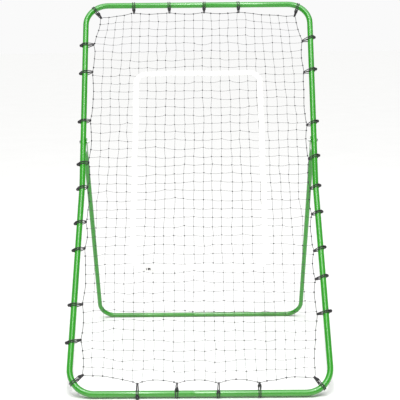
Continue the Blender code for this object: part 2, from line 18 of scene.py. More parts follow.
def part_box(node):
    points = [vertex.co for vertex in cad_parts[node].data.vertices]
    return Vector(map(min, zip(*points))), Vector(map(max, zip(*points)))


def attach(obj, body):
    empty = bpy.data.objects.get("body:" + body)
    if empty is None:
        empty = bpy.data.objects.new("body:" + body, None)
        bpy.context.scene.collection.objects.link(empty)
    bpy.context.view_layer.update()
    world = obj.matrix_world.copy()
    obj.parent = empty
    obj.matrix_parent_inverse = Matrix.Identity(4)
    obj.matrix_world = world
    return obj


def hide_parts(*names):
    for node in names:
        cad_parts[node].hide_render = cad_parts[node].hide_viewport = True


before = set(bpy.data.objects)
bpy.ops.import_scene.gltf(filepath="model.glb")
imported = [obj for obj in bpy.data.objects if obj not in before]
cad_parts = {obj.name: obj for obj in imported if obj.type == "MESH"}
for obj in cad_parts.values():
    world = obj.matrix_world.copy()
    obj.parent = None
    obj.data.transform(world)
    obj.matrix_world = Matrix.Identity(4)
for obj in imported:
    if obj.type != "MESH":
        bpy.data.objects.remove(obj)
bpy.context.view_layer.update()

# %% [markdown]
# ## The frame's own axes
# The net lies in a plane that leans back, so it is far easier to build in that plane's own coordinates:
# across, up the frame, and out of it towards the thrower. The centres of the bottom and top bars come
# from the boxes of the steel tubes, and the lean follows from them.

# %% Find the leaning plane
TUBE_RADIUS = 0.0127
low_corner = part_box("frame_tube_lower_left")[0]
high_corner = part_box("frame_tube_upper_left")[1]
BAR = Vector((0, low_corner.y + TUBE_RADIUS, low_corner.z + TUBE_RADIUS))
rise = Vector((0, high_corner.y - TUBE_RADIUS, high_corner.z - TUBE_RADIUS)) - BAR
FRAME_LENGTH = rise.length
HALF_WIDTH = -low_corner.x - TUBE_RADIUS
UP_FRAME = rise.normalized()
ACROSS = Vector((1, 0, 0))
FORWARD = ACROSS.cross(UP_FRAME)
print(f"frame {2 * HALF_WIDTH:.3f} by {FRAME_LENGTH:.3f} m,", end=" ")
print(f"leaning {math.degrees(math.atan2(UP_FRAME.y, UP_FRAME.z)):.1f} degrees")

# %% [markdown]
# Two helpers go between the leaning plane and the model. One turns distances across, up and out into a
# point. The other measures a node along the same axes, because a box along the model's own axes would
# say little about a part that leans. The net's size is read this way from its edge cord.


# %% Go between the frame's axes and the model's
def on_frame(across, up, out=0.0):
    """The model's point at these distances across, up and out of the leaning plane."""
    return BAR + ACROSS * across + UP_FRAME * up + FORWARD * out


def frame_box(node):
    """Lowest and highest (across, up, out) of a node along the leaning frame's axes."""
    points = np.array([v.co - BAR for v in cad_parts[node].data.vertices])
    axes = np.array([ACROSS, UP_FRAME, FORWARD])
    places = points @ axes.T
    return Vector(places.min(0)), Vector(places.max(0))


cord_low, cord_high = frame_box("net_border_cord")
cord_radius = (cord_high.z - cord_low.z) / 2
NET_HALF_WIDTH = cord_high.x - cord_radius
NET_BOTTOM = cord_low.y + cord_radius
NET_TOP = cord_high.y - cord_radius
print(f"net {2 * NET_HALF_WIDTH:.3f} by {NET_TOP - NET_BOTTOM:.3f} m")

# %% [markdown]
# ## Colours and shader nodes
# Colours are easiest to choose as sRGB hex values, the way a paint card gives them, but shaders work in
# linear light, so one function turns the one into the other. A second small function adds a shader node,
# sets its properties and wires its inputs, which keeps each material down to a readable list.


# %% Helpers for materials
def linear(hex_colour):
    """An sRGB hex colour as the linear RGBA that shaders use."""
    channels = [int(hex_colour[i : i + 2], 16) / 255 for i in (1, 3, 5)]
    straight = [c / 12.92 if c <= 0.04045 else ((c + 0.055) / 1.055) ** 2.4 for c in channels]
    return (*straight, 1.0)


def add_node(material, kind, settings=None, inputs=None):
    """Add a shader node. An input is a plain value or another node's output."""
    node = material.node_tree.nodes.new(kind)
    for name, value in (settings or {}).items():
        setattr(node, name, value)
    for name, value in (inputs or {}).items():
        if isinstance(value, bpy.types.NodeSocket):
            material.node_tree.links.new(value, node.inputs[name])
        else:
            node.inputs[name].default_value = value
    return node


def new_surface(name, inputs):
    """A material with a Principled shader, and that shader."""
    material = bpy.data.materials.new(name)
    material.use_nodes = True
    shader = material.node_tree.nodes["Principled BSDF"]
    for key, value in inputs.items():
        shader.inputs[key].default_value = value
    return material, shader


def wire(material, output, shader, key):
    """Link a node's output to one of the shader's inputs."""
    material.node_tree.links.new(output, shader.inputs[key])


print("mid grey, #808080, is", round(linear("#808080")[0], 3), "in linear light")

# %% [markdown]
# ## Green powder coat on steel tube
# The tubes are mild steel, sprayed with a dry polyester powder and baked. Baking melts the powder into a
# thick, glossy skin with a faint orange peel: soft dimples about 2 mm across. What it gives the eye is a
# bright highlight with slightly restless edges. The colour drifts a little where the powder lay thicker,
# and a year on a lawn leaves pale scuffs and a film of dust near the ground. A painted image could carry
# all this, but noise read at each point's own place covers every tube alike, with no seam at the bends.

# %% Powder coat
ORANGE_PEEL_SIZE = 0.002
SCUFF_LENGTH = 0.012
powder_coat, shader = new_surface(
    "green polyester powder coat", {"IOR": 1.5, "Coat Weight": 0.5, "Coat Roughness": 0.16}
)
place = add_node(powder_coat, "ShaderNodeTexCoord").outputs["Object"]
drift = add_node(
    powder_coat, "ShaderNodeTexNoise", {}, {"Vector": place, "Scale": 7.0, "Detail": 3.0}
)
coat_colour = add_node(
    powder_coat,
    "ShaderNodeMix",
    {"data_type": "RGBA"},
    {0: drift.outputs["Fac"], 6: linear("#1e8710"), 7: linear("#31a01f")},
)
scuff_place = add_node(
    powder_coat,
    "ShaderNodeMapping",
    {},
    {"Vector": place, "Rotation": (0.4, 0.3, 0.9), "Scale": (1.0, 5.0, 1.3)},
)
scuffs = add_node(
    powder_coat,
    "ShaderNodeTexNoise",
    {},
    {"Vector": scuff_place.outputs["Vector"], "Scale": 1 / SCUFF_LENGTH, "Detail": 5.0},
)
scuff_mask = add_node(
    powder_coat,
    "ShaderNodeMapRange",
    {},
    {"Value": scuffs.outputs["Fac"], "From Min": 0.66, "From Max": 0.76, "To Max": 0.3},
)
scuffed = add_node(
    powder_coat,
    "ShaderNodeMix",
    {"data_type": "RGBA"},
    {0: scuff_mask.outputs["Result"], 6: coat_colour.outputs[2], 7: linear("#86c679")},
)
height = add_node(powder_coat, "ShaderNodeSeparateXYZ", {}, {"Vector": place})
dust_mask = add_node(
    powder_coat,
    "ShaderNodeMapRange",
    {},
    {"Value": height.outputs["Z"], "From Min": 0.0, "From Max": 0.035, "To Min": 0.22, "To Max": 0},
)
dusty = add_node(
    powder_coat,
    "ShaderNodeMix",
    {"data_type": "RGBA"},
    {0: dust_mask.outputs["Result"], 6: scuffed.outputs[2], 7: linear("#8f9a78")},
)
wire(powder_coat, dusty.outputs[2], shader, "Base Color")
gloss = add_node(
    powder_coat,
    "ShaderNodeMapRange",
    {},
    {"Value": scuffs.outputs["Fac"], "From Min": 0.3, "From Max": 0.8, "To Min": 0.24, "To Max": 0.42},
)
wire(powder_coat, gloss.outputs["Result"], shader, "Roughness")
peel = add_node(
    powder_coat,
    "ShaderNodeTexNoise",
    {},
    {"Vector": place, "Scale": 1 / ORANGE_PEEL_SIZE, "Detail": 1.0},
)
peel_bump = add_node(
    powder_coat,
    "ShaderNodeBump",
    {},
    {"Height": peel.outputs["Fac"], "Strength": 0.25, "Distance": 0.0002},
)
wire(powder_coat, peel_bump.outputs["Normal"], shader, "Normal")
print("powder coat:", len(powder_coat.node_tree.nodes), "nodes")

# %% [markdown]
# ## Zinc plate
# The pivot bolts and nuts are steel, barrel plated with zinc: a cool grey metal, satin rather than
# mirror bright, and mottled where the passivation dried. One noise does all three jobs here. It shifts
# the grey, the roughness and the bump together, as the spots that dried last are both paler and duller.

# %% Zinc plate
zinc_plate, shader = new_surface("zinc plated steel", {"Metallic": 1.0, "Roughness": 0.34})
place = add_node(zinc_plate, "ShaderNodeTexCoord").outputs["Object"]
mottle = add_node(
    zinc_plate, "ShaderNodeTexNoise", {}, {"Vector": place, "Scale": 350.0, "Detail": 3.0}
)
zinc_colour = add_node(
    zinc_plate,
    "ShaderNodeMix",
    {"data_type": "RGBA"},
    {0: mottle.outputs["Fac"], 6: linear("#a3a7a8"), 7: linear("#c9ccc8")},
)
wire(zinc_plate, zinc_colour.outputs[2], shader, "Base Color")
zinc_gloss = add_node(
    zinc_plate, "ShaderNodeMapRange", {}, {"Value": mottle.outputs["Fac"], "To Min": 0.24, "To Max": 0.46}
)
wire(zinc_plate, zinc_gloss.outputs["Result"], shader, "Roughness")
zinc_bump = add_node(
    zinc_plate,
    "ShaderNodeBump",
    {},
    {"Height": mottle.outputs["Fac"], "Strength": 0.15, "Distance": 0.0001},
)
wire(zinc_plate, zinc_bump.outputs["Normal"], shader, "Normal")
print("zinc plate:", len(zinc_plate.node_tree.nodes), "nodes")

# %% [markdown]
# ## Moulded black nylon
# The spacers between tube and leg and the balls of the ties are moulded nylon, black and a little waxy.
# The mould's steel was spark eroded, which prints a fine even grain on every piece. A bump from noise is
# enough for it, since the grain is less than a millimetre and never shows at an outline.

# %% Moulded black plastic
SPARK_GRAIN = 0.0008
black_plastic, shader = new_surface("moulded black nylon", {"IOR": 1.53})
place = add_node(black_plastic, "ShaderNodeTexCoord").outputs["Object"]
grain = add_node(
    black_plastic, "ShaderNodeTexNoise", {}, {"Vector": place, "Scale": 1 / SPARK_GRAIN, "Detail": 2.0}
)
plastic_colour = add_node(
    black_plastic,
    "ShaderNodeMix",
    {"data_type": "RGBA"},
    {0: grain.outputs["Fac"], 6: linear("#121114"), 7: linear("#26242a")},
)
wire(black_plastic, plastic_colour.outputs[2], shader, "Base Color")
plastic_gloss = add_node(
    black_plastic, "ShaderNodeMapRange", {}, {"Value": grain.outputs["Fac"], "To Min": 0.3, "To Max": 0.5}
)
wire(black_plastic, plastic_gloss.outputs["Result"], shader, "Roughness")
plastic_bump = add_node(
    black_plastic,
    "ShaderNodeBump",
    {},
    {"Height": grain.outputs["Fac"], "Strength": 0.3, "Distance": 0.0001},
)
wire(black_plastic, plastic_bump.outputs["Normal"], shader, "Normal")
print("moulded nylon:", len(black_plastic.node_tree.nodes), "nodes")

# %% [markdown]
# ## Cords: braided elastic and twisted twine
# Both cords get their pattern from a UV that runs along each cord in metres and once round it. The ties
# are rubber threads in a braided polyester sleeve: two sets of slanting bands that cross, matte and near
# black. The net is twisted polyethylene twine: one set of slanting bands, dark grey and a little waxy.
# Real bands are half a millimetre wide, far too fine to show, so both are drawn a few times coarser.
# Strands could be modelled one by one, but a sine across the UV bends with any cord and costs no faces.
# The same sine also paints the grooves between the bands darker than their crests, as painted shade.


# %% A material for a cord with slanting bands
def cord_surface(name, dark, light, band, crossed, inputs):
    """A cord's material. band is the length of cord between bands, in metres."""
    material, shader = new_surface(name, inputs)
    coordinates = add_node(material, "ShaderNodeTexCoord")
    parts = add_node(material, "ShaderNodeSeparateXYZ", {}, {"Vector": coordinates.outputs["UV"]})
    along = add_node(
        material, "ShaderNodeMath", {"operation": "DIVIDE"}, {0: parts.outputs["X"], 1: band}
    )
    heights = []
    for hand in (1.0, -1.0) if crossed else (1.0,):
        turn = add_node(
            material,
            "ShaderNodeMath",
            {"operation": "MULTIPLY_ADD"},
            {0: parts.outputs["Y"], 1: hand, 2: along.outputs[0]},
        )
        angle = add_node(
            material, "ShaderNodeMath", {"operation": "MULTIPLY"}, {0: turn.outputs[0], 1: 2 * math.pi}
        )
        wave = add_node(material, "ShaderNodeMath", {"operation": "SINE"}, {0: angle.outputs[0]})
        heights.append(wave.outputs[0])
    ridge = heights[0]
    if crossed:
        ridge = add_node(
            material, "ShaderNodeMath", {"operation": "MAXIMUM"}, {0: heights[0], 1: heights[1]}
        ).outputs[0]
    # Painted shade: the grooves between the strands are coloured darker than the crests, on top of the
    # bump.
    painted_groove_shade = add_node(
        material,
        "ShaderNodeMapRange",
        {},
        {"Value": ridge, "From Min": -1.0, "From Max": 1.0, "To Min": 0.0, "To Max": 0.7},
    )
    fuzz = add_node(
        material,
        "ShaderNodeTexNoise",
        {},
        {"Vector": coordinates.outputs["Object"], "Scale": 240.0, "Detail": 3.0},
    )
    blend = add_node(
        material,
        "ShaderNodeMath",
        {"operation": "MULTIPLY_ADD"},
        {0: fuzz.outputs["Fac"], 1: 0.3, 2: painted_groove_shade.outputs["Result"]},
    )
    colour = add_node(
        material,
        "ShaderNodeMix",
        {"data_type": "RGBA"},
        {0: blend.outputs[0], 6: linear(dark), 7: linear(light)},
    )
    wire(material, colour.outputs[2], shader, "Base Color")
    bump = add_node(
        material, "ShaderNodeBump", {}, {"Height": ridge, "Strength": 0.6, "Distance": 0.0003}
    )
    wire(material, bump.outputs["Normal"], shader, "Normal")
    return material


braided_elastic = cord_surface(
    "braided black elastic cord",
    dark="#0e0c10",
    light="#2c272e",
    band=0.004,
    crossed=True,
    inputs={"Roughness": 0.62, "Sheen Weight": 0.15, "Sheen Roughness": 0.5},
)
net_twine = cord_surface(
    "twisted dark polyethylene twine",
    dark="#1d1e21",
    light="#4a4c50",
    band=0.003,
    crossed=False,
    inputs={"Roughness": 0.6},
)
print("cord materials:", braided_elastic.name, "and", net_twine.name)

# %% [markdown]
# ## White polyester webbing
# The strike zone is flat webbing, woven from thick white yarn with a plain over and under. Its ribs run
# across the band a little over 2 mm apart. It is bright but never pure white, and the valleys of the
# weave are painted slightly grey, as painted shade. Two sines multiplied give the chequer of an over and
# under weave, which follows the band round its corners because the UV does.

# %% Webbing
RIB_PITCH = 0.0022
YARN_WIDTH = 0.0028
webbing, shader = new_surface(
    "white polyester webbing", {"Roughness": 0.78, "Sheen Weight": 0.25, "Sheen Roughness": 0.4}
)
coordinates = add_node(webbing, "ShaderNodeTexCoord")
parts = add_node(webbing, "ShaderNodeSeparateXYZ", {}, {"Vector": coordinates.outputs["UV"]})
waves = []
for direction, pitch in (("X", RIB_PITCH), ("Y", YARN_WIDTH)):
    angle = add_node(
        webbing,
        "ShaderNodeMath",
        {"operation": "MULTIPLY"},
        {0: parts.outputs[direction], 1: 2 * math.pi / pitch},
    )
    waves.append(add_node(webbing, "ShaderNodeMath", {"operation": "SINE"}, {0: angle.outputs[0]}))
weave = add_node(
    webbing, "ShaderNodeMath", {"operation": "MULTIPLY"}, {0: waves[0].outputs[0], 1: waves[1].outputs[0]}
)
soil = add_node(
    webbing,
    "ShaderNodeTexNoise",
    {},
    {"Vector": coordinates.outputs["Object"], "Scale": 14.0, "Detail": 4.0},
)
# Painted shade: the valleys of the weave are coloured grey and its crests whiter.
painted_weave_shade = add_node(
    webbing,
    "ShaderNodeMapRange",
    {},
    {"Value": weave.outputs[0], "From Min": -1.0, "From Max": 1.0, "To Min": 0.25, "To Max": 0.75},
)
# Soiling from slow noise and the painted weave shade together set how grey each point is.
soil_and_weave_shade = add_node(
    webbing,
    "ShaderNodeMath",
    {"operation": "MULTIPLY_ADD"},
    {0: soil.outputs["Fac"], 1: 0.3, 2: painted_weave_shade.outputs["Result"]},
)
webbing_colour = add_node(
    webbing,
    "ShaderNodeMix",
    {"data_type": "RGBA"},
    {0: soil_and_weave_shade.outputs[0], 6: linear("#c9c9c5"), 7: linear("#eeeeeb")},
)
wire(webbing, webbing_colour.outputs[2], shader, "Base Color")
weave_bump = add_node(
    webbing, "ShaderNodeBump", {}, {"Height": weave.outputs[0], "Strength": 0.5, "Distance": 0.0003}
)
wire(webbing, weave_bump.outputs["Normal"], shader, "Normal")
print("webbing:", len(webbing.node_tree.nodes), "nodes")

# %% [markdown]
# ## Dress the steel parts
# The tubes, bolts, nuts and spacers keep the shapes that they came with, but those arrive as loose
# triangles, each with its own corners, and light would show every flat on a round tube. So each part is
# built again from the same triangles with their shared corners joined. Then the shading can run smoothly
# round a tube and still break at real edges, where two faces meet at more than 40 degrees.

# %% Join each hard part's triangles and give it its surface
FINISHES = {
    "frame_tube": ("front_frame", "green_powder_coat", powder_coat),
    "rear_leg_tube": ("rear_leg", "green_powder_coat", powder_coat),
    "pivot_bolt": ("front_frame", "zinc_steel", zinc_plate),
    "pivot_nut": ("front_frame", "zinc_steel", zinc_plate),
    "pivot_spacer": ("front_frame", "black_nylon", black_plastic),
}
WELD_DISTANCE = 0.00002
SMOOTH_BELOW = math.radians(40)


def joined_copy(name, part, finish):
    """A part with the same triangles, joined at their corners and shaded smoothly."""
    shape = bmesh.new()
    shape.from_mesh(part.data)
    bmesh.ops.remove_doubles(shape, verts=shape.verts, dist=WELD_DISTANCE)
    mesh = bpy.data.meshes.new(name)
    shape.to_mesh(mesh)
    shape.free()
    if mesh.has_custom_normals:
        mesh.attributes.remove(mesh.attributes["custom_normal"])
    mesh.materials.clear()
    mesh.materials.append(finish)
    mesh.polygons.foreach_set("use_smooth", [True] * len(mesh.polygons))
    mesh.set_sharp_from_angle(angle=SMOOTH_BELOW)
    made = bpy.data.objects.new(name, mesh)
    made.matrix_world = part.matrix_world.copy()
    bpy.context.scene.collection.objects.link(made)
    return made


for name, part in list(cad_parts.items()):
    for start, (body, slot, finish) in FINISHES.items():
        if name.startswith(start):
            made = joined_copy("smooth_" + name, part, finish)
            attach(made, body)
            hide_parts(name)
dressed = [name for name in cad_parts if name.startswith(tuple(FINISHES))]
print("dressed:", len(dressed), "parts")

# %% [markdown]
# ## One way to make every cord
# Twine, knots, edge cord and elastic are all the same shape: a round section swept along a path. A curve
# object with a bevel could do it, but a mesh built directly can carry the UV that the twist and the
# braid follow, and thousands of short twines can share one object. The section is carried along the path
# by turning it no more than the path turns, so that the cord doesn't twist on itself.


# %% Collect swept cords and turn them into one mesh
def new_store():
    """An empty collection of points, faces, UVs and material slots."""
    return {"points": [], "faces": [], "uvs": [], "slots": []}


def carried_normals(points, closed):
    """A direction square to the path at each point, turning as little as it can."""
    count = len(points)
    normals = []
    tangents = []
    for i in range(count):
        before = points[i - 1] if closed or i else points[0]
        after = points[(i + 1) % count] if closed or i < count - 1 else points[-1]
        tangents.append((after - before).normalized())
    side = tangents[0].orthogonal().normalized()
    for tangent in tangents:
        side = (side - tangent * side.dot(tangent)).normalized()
        normals.append(side)
    return normals, tangents


def add_cord(store, points, radius, sides, closed=False, slot=0, capped=False):
    """Sweep a round section along the points. radius is one number or one for each point."""
    radii = radius if isinstance(radius, (list, tuple)) else [radius] * len(points)
    normals, tangents = carried_normals(points, closed)
    first = len(store["points"])
    distance = [0.0]
    for i in range(1, len(points)):
        distance.append(distance[-1] + (points[i] - points[i - 1]).length)
    if closed:
        distance.append(distance[-1] + (points[0] - points[-1]).length)
    for point, side, tangent, reach in zip(points, normals, tangents, radii):
        other = tangent.cross(side)
        for k in range(sides):
            angle = 2 * math.pi * k / sides
            store["points"].append(point + (side * math.cos(angle) + other * math.sin(angle)) * reach)
    spans = len(points) if closed else len(points) - 1
    for i in range(spans):
        j = (i + 1) % len(points)
        for k in range(sides):
            m = (k + 1) % sides
            corners = (i * sides + k, i * sides + m, j * sides + m, j * sides + k)
            store["faces"].append([first + corner for corner in corners])
            turn, next_turn = k / sides, (k + 1) / sides
            here, there = distance[i], distance[i + 1]
            store["uvs"] += [(here, turn), (here, next_turn), (there, next_turn), (there, turn)]
            store["slots"].append(slot)
    if capped:
        last = first + (len(points) - 1) * sides
        for start, order in ((first, range(sides - 1, -1, -1)), (last, range(sides))):
            store["faces"].append([start + k for k in order])
            store["uvs"] += [(0.0, 0.0)] * sides
            store["slots"].append(slot)


def mesh_object(store, name, materials):
    """One smooth mesh object from everything in the store."""
    mesh = bpy.data.meshes.new(name)
    mesh.from_pydata(store["points"], [], store["faces"])
    layer = mesh.uv_layers.new(name="along_cord")
    layer.data.foreach_set("uv", np.array(store["uvs"], np.float32).ravel())
    for material in materials:
        mesh.materials.append(material)
    mesh.polygons.foreach_set("material_index", store["slots"])
    mesh.polygons.foreach_set("use_smooth", [True] * len(mesh.polygons))
    mesh.update()
    made = bpy.data.objects.new(name, mesh)
    bpy.context.scene.collection.objects.link(made)
    return made


trial_store = new_store()
add_cord(trial_store, [Vector((0, 0, 0)), Vector((0, 0, 0.05)), Vector((0, 0, 0.1))], 0.002, 6)
print("a six-sided cord through three points has", len(trial_store["faces"]), "faces")

# %% [markdown]
# ## Where the ties pull
# Thirty elastic ties hold the net. Each is looped round the tube and hooked into the net's edge. The
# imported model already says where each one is, so its tube centre and its hook on the net are read from
# there: for a side tie the height is the middle of its box, and its tube centre is a ball and a tube
# radius in from the outer end.

# %% Read the ties from the model
SIDE_TIES = 9
END_TIES = 4
BALL_REACH = 0.0275
HOOK_PULL = 0.004
HOOK_DROP = {"left": -0.001, "right": 0.006}
ties = []
for edge, side in (("left", -1), ("right", 1)):
    for number in range(1, SIDE_TIES + 1):
        low, high = frame_box(f"bungee_tie_{edge}_{number}")
        height = (low.y + high.y) / 2
        outer = high.x if side > 0 else -low.x
        ties.append({
            "node": f"bungee_tie_{edge}_{number}",
            "edge": edge,
            "tube": Vector((side * (outer - BALL_REACH), height)),
            "hook": Vector((side * (NET_HALF_WIDTH + HOOK_PULL), height - HOOK_DROP[edge])),
        })
for edge, bar, net in (("top", FRAME_LENGTH, NET_TOP), ("bottom", 0.0, NET_BOTTOM)):
    for number in range(1, END_TIES + 1):
        low, high = frame_box(f"bungee_tie_{edge}_{number}")
        middle = (low.x + high.x) / 2
        ties.append({
            "node": f"bungee_tie_{edge}_{number}",
            "edge": edge,
            "tube": Vector((middle, bar)),
            "hook": Vector((middle, net)),
        })
print(len(ties), "straight ties")

# %% [markdown]
# A corner tie sits on a bend, where it can slip round until its pull is square to the tube, so no two of
# them lie alike. Each is given by the turn of its place on the bend, in degrees up from level, and by
# how far in from the net's own corner its hook is drawn, across and up.

# %% Corner ties, each slipped to its own place on the bend
BEND_RADIUS = 0.1
CORNERS = {
    ("left", "top"): (51, 0.026, 0.026),
    ("right", "top"): (60, 0.026, 0.024),
    ("left", "bottom"): (32, 0.011, 0.036),
    ("right", "bottom"): (50, 0.021, 0.020),
}
corner_hooks = {}
for (hand, end), (turn, in_across, in_up) in CORNERS.items():
    side = 1 if hand == "right" else -1
    level = 1 if end == "top" else -1
    bar, net = (FRAME_LENGTH, NET_TOP) if end == "top" else (0.0, NET_BOTTOM)
    bend = Vector((side * (HALF_WIDTH - BEND_RADIUS), bar - level * BEND_RADIUS))
    turn = math.radians(turn)
    tube = bend + Vector((side * math.cos(turn), level * math.sin(turn))) * BEND_RADIUS
    hook = Vector((side * (NET_HALF_WIDTH - in_across), net - level * in_up))
    corner_hooks[(side, level)] = hook
    node = f"bungee_tie_corner_{end}_{hand}"
    ties.append({"node": node, "edge": "corner", "tube": tube, "hook": hook})
print(len(ties), "ties in all")

# %% [markdown]
# ## The net finds its own shape
# A knotted net under tension pulls its edge into scallops between the ties and leaves no knot exactly
# where a ruler would put it. Drawing those curves by hand looks drawn. Instead every twine is given a
# pull for each metre of its length, and one set of linear equations finds where all the knots come to
# rest. Engineers call it the force density method and use it for cable nets. A cloth simulation could do
# it too, but it takes far longer, and its result depends on when it is stopped.
#
# The knots are numbered row by row from the top left. Every twine's pull varies a little, as no hand
# ties two meshes alike.

# %% Knots and the pulls between them
COLUMNS = 23
ROWS = 42
GRID_KNOTS = (ROWS + 1) * (COLUMNS + 1)
MESH_ACROSS = 2 * NET_HALF_WIDTH / COLUMNS
MESH_UP = (NET_TOP - NET_BOTTOM) / ROWS
PULL_ACROSS = 1.0
PULL_UP = 2.2
UNEVENNESS = 0.14
chance = random.Random(7)
pulls = []


def knot(row, column):
    """The number of the knot at this row and column."""
    return row * (COLUMNS + 1) + column


for row in range(1, ROWS):
    for column in range(COLUMNS):
        pull = PULL_ACROSS * chance.lognormvariate(0, UNEVENNESS)
        pulls.append((knot(row, column), knot(row, column + 1), pull))
for row in range(ROWS):
    for column in range(1, COLUMNS):
        pull = PULL_UP * chance.lognormvariate(0, UNEVENNESS)
        pulls.append((knot(row, column), knot(row + 1, column), pull))
print(len(pulls), "twines")

# %% [markdown]
# The edge cord needs more thought. A cord that carries the same load all along hangs in an arc, and the
# harder it is pulled the shallower the arc. So the depth that each scallop should have gives the pull
# that its span of cord needs. A hook seldom falls on a knot, so each one becomes a point of its own in
# the chain of edge knots, and the solver is told that it stays put.

# %% The edge cord, span by span between its hooks
SCALLOP_DEPTH = {"bottom": 0.014, "top": 0.006, "left": 0.008, "right": 0.008}
CORNER_SCALLOP_SHARE = 0.6
HOOK_FROM_KNOT = 0.2
fixed = {}
for (side, level), hook in corner_hooks.items():
    fixed[knot(0 if level > 0 else ROWS, 0 if side < 0 else COLUMNS)] = hook
EDGES = {
    "top": ([knot(0, c) for c in range(COLUMNS + 1)], MESH_ACROSS, PULL_UP),
    "bottom": ([knot(ROWS, c) for c in range(COLUMNS + 1)], MESH_ACROSS, PULL_UP),
    "left": ([knot(r, 0) for r in range(ROWS + 1)], MESH_UP, PULL_ACROSS),
    "right": ([knot(r, COLUMNS) for r in range(ROWS + 1)], MESH_UP, PULL_ACROSS),
}
edge_chains = {}
hook_count = 0
for edge, (knots, mesh_size, load) in EDGES.items():
    across = edge in ("top", "bottom")
    hooked = []
    for tie in ties:
        if tie["edge"] == edge:
            place = tie["hook"].x + NET_HALF_WIDTH if across else NET_TOP - tie["hook"].y
            share = place / mesh_size
            part = min(max(share % 1, HOOK_FROM_KNOT), 1 - HOOK_FROM_KNOT)
            share = math.floor(share) + part
            hooked.append((share, tie))
    hooked.sort(key=lambda pair: pair[0])
    stops = [0] + [share for share, tie in hooked] + [len(knots) - 1]
    chain = [(float(i), k) for i, k in enumerate(knots)]
    for share, tie in hooked:
        number = GRID_KNOTS + hook_count
        hook_count += 1
        fixed[number] = tie["hook"]
        chain.append((share, number))
    chain.sort()
    edge_chains[edge] = [number for share, number in chain]
    for (here, first), (there, second) in zip(chain, chain[1:]):
        middle = (here + there) / 2
        span = next(b - a for a, b in zip(stops, stops[1:]) if a <= middle <= b)
        by_corner = stops[1] > middle or stops[-2] < middle
        depth = SCALLOP_DEPTH[edge] * (CORNER_SCALLOP_SHARE if by_corner else 1)
        pull = load * span * span / 8 / (depth / mesh_size)
        pulls.append((first, second, pull / (there - here)))
print(hook_count, "hooks on the edge cord")

# %% [markdown]
# At rest the pulls on each knot cancel out. That is one equation for each knot, in which only its own
# place and its neighbours' places appear, so all of them together are one table of numbers that NumPy
# solves at once. A small weight on each knot lets the net sag behind its plane. Last, each knot is
# nudged by about a millimetre, as real knots slip a little before they bite.

# %% Solve for the knots
KNOT_WEIGHT = 0.000045
total = GRID_KNOTS + hook_count
stiffness = np.zeros((total, total))
for first, second, pull in pulls:
    stiffness[first, first] += pull
    stiffness[second, second] += pull
    stiffness[first, second] -= pull
    stiffness[second, first] -= pull
loads = np.zeros((total, 3))
loads[:, 2] = -KNOT_WEIGHT
for number, hook in fixed.items():
    stiffness[number, :] = 0
    stiffness[number, number] = 1
    loads[number] = (hook.x, hook.y, 0)
solved = np.linalg.solve(stiffness, loads)
JITTER = 0.0011
for number in range(GRID_KNOTS):
    if number not in fixed:
        solved[number] += [chance.gauss(0, JITTER), chance.gauss(0, JITTER), chance.gauss(0, JITTER / 2)]
sag = -solved[:, 2].min()
print(f"{total} points, the net sags {sag * 1000:.1f} mm behind its plane")

# %% [markdown]
# ## Twine and knots
# Each mesh is tied from 1.2 mm twine. The upright twines are drawn tight, and those across hang a
# millimetre or two between their knots. A wireframe modifier on a grid would give straight bars of
# one kind, so every twine is swept by itself, with its own slack.

# %% Sweep the twines
TWINE_RADIUS = 0.0006
TWINE_SIDES = 5
SLACK_ACROSS = 0.0014
SLACK_UP = 0.0005
net_store = new_store()


def net_point(number):
    """Where a knot or hook came to rest, in the model."""
    return on_frame(*solved[number])


edge_numbers = {number for chain in edge_chains.values() for number in chain}
for first, second, pull in pulls:
    if first in edge_numbers and second in edge_numbers:
        continue
    start, end = net_point(first), net_point(second)
    is_across = second - first == 1
    slack = (SLACK_ACROSS if is_across else SLACK_UP) * chance.uniform(0.2, 1.8)
    sideways = UP_FRAME * -slack if is_across else ACROSS * slack * chance.choice((-1, 1))
    bow = sideways + FORWARD * chance.gauss(0, slack / 2)
    run = [start, start.lerp(end, 0.33) + bow, start.lerp(end, 0.67) + bow, end]
    add_cord(net_store, run, TWINE_RADIUS, TWINE_SIDES)
print(len(net_store["faces"]), "faces of twine")

# %% [markdown]
# A knot is where one twine is hitched round the other: a small hard lump of crossing strands. It is
# modelled as one closed loop that winds over itself in three lobes, which mathematicians call a trefoil.
# Every knot is turned and sized a little differently, and that keeps a large net from looking printed.

# %% Tie the knots
KNOT_SCALE = 0.0007
KNOT_STRAND = 0.001
KNOT_STEPS = 16
KNOT_SIDES = 4
loop = []
for step in range(KNOT_STEPS):
    t = 2 * math.pi * step / KNOT_STEPS
    loop.append(Vector((
        math.sin(t) + 2 * math.sin(2 * t),
        math.cos(t) - 2 * math.cos(2 * t),
        -math.sin(3 * t) * 1.3,
    )))
plane_axes = Matrix((ACROSS, UP_FRAME, FORWARD)).transposed()


def add_knot(store, place, size):
    """Add one knot at a place, turned at random in the net's plane and tilted a little."""
    tilt = Matrix.Rotation(chance.gauss(0, 0.35), 3, "X")
    turn = plane_axes @ tilt @ Matrix.Rotation(chance.uniform(0, 2 * math.pi), 3, "Z")
    points = [place + turn @ point * size for point in loop]
    add_cord(store, points, KNOT_STRAND * size / KNOT_SCALE, KNOT_SIDES, closed=True)


for number in range(GRID_KNOTS):
    if number not in edge_numbers:
        add_knot(net_store, net_point(number), KNOT_SCALE * chance.uniform(0.85, 1.15))
net = mesh_object(net_store, "knotted_net", [net_twine])
print(len(net.data.polygons), "faces in the net")

# %% [markdown]
# ## The edge cord
# Round the outside the net is hung on a thicker cord, knotted to the last row of meshes. It takes the
# pull of the ties, so it runs in arcs from hook to hook and turns sharply round each one. It is one
# closed loop through all four chains of edge knots. Straight runs from knot to knot would show as a row
# of flats, so each run is eased into the next with two extra points on a Bezier curve.

